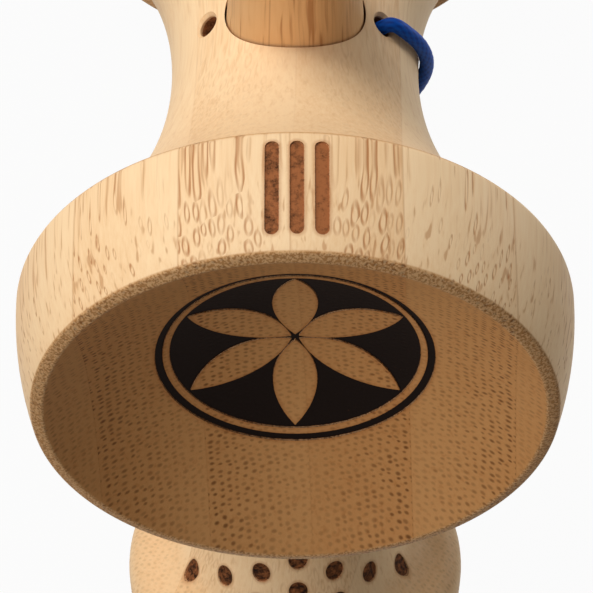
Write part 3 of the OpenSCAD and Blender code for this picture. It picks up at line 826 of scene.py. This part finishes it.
def smooth_run(route):
    """A smooth curve through a route's points, in even steps."""
    points = [Vector(p) for p in route]
    points = [2 * points[0] - points[1]] + points + [2 * points[-1] - points[-2]]
    run = []
    for p, q, r, s in zip(points, points[1:], points[2:], points[3:]):
        steps = math.ceil((r - q).length / ring_step)
        for i in range(steps):
            t = i / steps
            run.append((2 * q + (r - p) * t + (2 * p - 5 * q + 4 * r - s) * t ** 2
                        + (3 * (q - r) + s - p) * t ** 3) / 2)
    return run + [points[-2]]


def braid(name, run):
    """A braided string along a run: a tube with the braid's crossings raised on it."""
    bm = bmesh.new()
    crossing_mark = bm.verts.layers.float.new("braid")
    side = Vector((0, 0, 1))
    passed = 0
    rings = []
    for i, centre in enumerate(run):
        along = (run[min(i + 1, len(run) - 1)] - run[max(i - 1, 0)]).normalized()
        side = (side - side.dot(along) * along).normalized()
        over = along.cross(side)
        passed += (centre - run[max(i - 1, 0)]).length
        ring = []
        for k in range(string_sides):
            a = math.tau * k / string_sides
            wave = math.cos(braid_strands * a) * math.cos(math.tau * passed / braid_pitch)
            raised = 0.5 + 0.5 * wave
            out = string_r - braid_depth * (1 - raised)
            vert = bm.verts.new(centre + out * (math.cos(a) * side + math.sin(a) * over))
            # How raised each place is, kept for the painted shade and light in the string's colour
            vert[crossing_mark] = raised
            ring.append(vert)
        rings.append(ring)
    for low, high in zip(rings, rings[1:]):
        for k in range(string_sides):
            n = (k + 1) % string_sides
            bm.faces.new((low[k], low[n], high[n], high[k]))
    bm.faces.new(rings[0][::-1])
    bm.faces.new(rings[-1])
    bmesh.ops.recalc_face_normals(bm, faces=bm.faces)
    piece = as_object(name, bm)
    smooth(piece, sharp=60)
    piece.data.materials.append(string_finish)
    return piece


string_finish, tree, shader = new_finish("blue_braid")
braid_shade_mask = node(tree, "Attribute", {}, attribute_name="braid").outputs["Fac"]
yarn_place = node(tree, "TexCoord", {}).outputs["Object"]
yarn = node(tree, "TexNoise", {"Vector": yarn_place, "Scale": yarn_scale, "Detail": 2}).outputs[0]
# Painted shade and light: the braid's sunken places between crossings are coloured a darker blue and its
# raised crossings a lighter blue.
string_color = mixed(tree, fade(tree, braid_shade_mask, 0.05, 0.75), seen(0, 50, 132), seen(0, 82, 186))
string_color = mixed(tree, calc(tree, "MULTIPLY", yarn, 0.35), string_color, seen(0, 56, 140))
tree.links.new(string_color, shader.inputs["Base Color"])
string_bump = node(tree, "Bump", {"Strength": 0.4, "Distance": fine_bump, "Height": yarn}).outputs[0]
tree.links.new(string_bump, shader.inputs["Normal"])
shader.inputs["Roughness"].default_value = 0.55
shader.inputs["Specular IOR Level"].default_value = 0.15

lead_run = smooth_run(lead_route)
wind_points = [wind_point(a) for a in range(wind_from, wind_to + 1, wind_step)]
wind_run = smooth_run([wind_points[0] + Vector((string_d, 0, 0))] + wind_points
                      + [wind_points[-1] + Vector((0, string_d, 0))])
tail_run = smooth_run(tail_route)
lead = braid("string_lead_braid", lead_run)
winding = braid("string_winding_braid", wind_run)
tail = braid("string_tail_braid", tail_run)


def knot(name, centre, axis_turn, reach):
    """A tied knot, drawn tight: a three-lobed loop of the same string."""
    loops = []
    for i in range(knot_steps + 1):
        t = math.tau * i / knot_steps
        loops.append(Vector((math.sin(t) + 2 * math.sin(2 * t), math.cos(t) - 2 * math.cos(2 * t),
                             -math.sin(3 * t))) * reach / 3)
    run = [axis_turn @ p + centre for p in loops]
    return braid(name, run)


knot_low, knot_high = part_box("ken_knot")
ken_knot = knot("ken_knot_braid", (knot_low + knot_high) / 2, Matrix.Rotation(math.pi / 2, 3, "Y"),
                (knot_high.y - knot_low.y) / 2 - string_r)
ball_knot_low, ball_knot_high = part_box("tama_knot")
tama_knot = knot("tama_knot_braid", (ball_knot_low + ball_knot_high) / 2, Matrix.Identity(3),
                 (ball_knot_high.y - ball_knot_low.y) / 2 - string_r)
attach(ken_knot, "ken")
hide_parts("ken_knot")
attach(tama_knot, "swivel")
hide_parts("tama_knot")
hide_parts("string_lead")
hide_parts("string_winding")
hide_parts("string_tail")
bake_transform(lead)
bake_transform(winding)
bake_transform(tail)

# Floor and light: a wide pale sheet under the toy, a soft lamp high above it, a weaker one in front on
# the left, a small one behind on the right, and an even sky. Seen directly, floor and sky are white, and
# the floor keeps a shadow.
floor_size = 3
floor_drop = 0.0001
floor_white = 0.96
sky_light = 0.16
white = (1, 1, 1, 1)


def seen_directly(tree):
    """1 on rays from the camera, also by way of gloss or glass, and 0 on the rays that light the toy."""
    ray = node(tree, "LightPath", {}).outputs
    gloss_or_glass = calc(tree, "MAXIMUM", ray["Is Glossy Ray"], ray["Is Transmission Ray"])
    return calc(tree, "MAXIMUM", ray["Is Camera Ray"], gloss_or_glass)


floor_bm = bmesh.new()
bmesh.ops.create_grid(floor_bm, x_segments=1, y_segments=1, size=floor_size)
bmesh.ops.translate(floor_bm, verts=floor_bm.verts, vec=(0, 0, -floor_drop))
floor = as_object("floor", floor_bm)
floor_finish, tree, shader = new_finish("pale_floor")
shader.inputs["Base Color"].default_value = seen(118, 113, 106)
shader.inputs["Roughness"].default_value = 0.9
glow = node(tree, "Emission", {"Color": white, "Strength": 1}).outputs[0]
whitened = calc(tree, "MULTIPLY", seen_directly(tree), floor_white)
both = node(tree, "MixShader", {0: whitened, 1: shader.outputs[0], 2: glow}).outputs[0]
tree.links.new(both, tree.nodes["Material Output"].inputs["Surface"])
floor.data.materials.append(floor_finish)

world = bpy.data.worlds.new("white_studio")
bpy.context.scene.world = world
world.use_nodes = True
tree = world.node_tree
sky = tree.nodes["Background"]
sky.inputs["Color"].default_value = white
sky_strength = calc(tree, "MULTIPLY_ADD", seen_directly(tree), 1 - sky_light, sky_light)
tree.links.new(sky_strength, sky.inputs["Strength"])


def lamp(name, place, aim, size, power, color):
    """A square soft lamp that faces a point."""
    data = bpy.data.lights.new(name, "AREA")
    data.size = size
    data.energy = power
    data.color = color
    made = bpy.data.objects.new(name, data)
    made.location = place
    made.rotation_euler = (Vector(aim) - Vector(place)).to_track_quat("-Z", "Y").to_euler()
    bpy.context.scene.collection.objects.link(made)


sarado_centre = Vector((0, 0, sarado_z))
lamp("key_lamp", (-0.34, 0.3, 1.2), sarado_centre, size=0.45, power=9.4, color=(1, 0.99, 0.97))
lamp("fill_lamp", (-0.85, -0.6, 0.7), sarado_centre, size=0.7, power=6.3, color=(1, 0.98, 0.96))
lamp("edge_lamp", (0.85, 0.6, 0.1), sarado_centre, size=0.3, power=2.8, color=(0.94, 0.97, 1))

# Camera: a long lens in front of the big cup, looking down at it at the photograph's angle. Its place,
# focal length and middle are those of a camera fitted to the outline of the cup and the waist.
camera_tilt = math.radians(52.56)
camera_away = 0.31092
camera_drop = 0.02023
frame_px = 593
focal_px = 3273.6
middle_px = 295.2
sensor_mm = 36
sight = Vector((0, math.cos(camera_tilt), -math.sin(camera_tilt)))
camera_up = Vector((0, math.sin(camera_tilt), math.cos(camera_tilt)))
camera_data = bpy.data.cameras.new("camera")
camera_data.sensor_width = sensor_mm
camera_data.lens = focal_px / frame_px * sensor_mm
camera_data.shift_x = (frame_px / 2 - middle_px) / frame_px
camera_data.clip_start = 0.01
camera = bpy.data.objects.new("camera", camera_data)
camera.location = sarado_centre - camera_away * sight - camera_drop * camera_up
camera.rotation_euler = (math.pi / 2 - camera_tilt, 0, 0)
bpy.context.scene.collection.objects.link(camera)
bpy.context.scene.camera = camera
bpy.context.scene.view_settings.view_transform = "Standard"
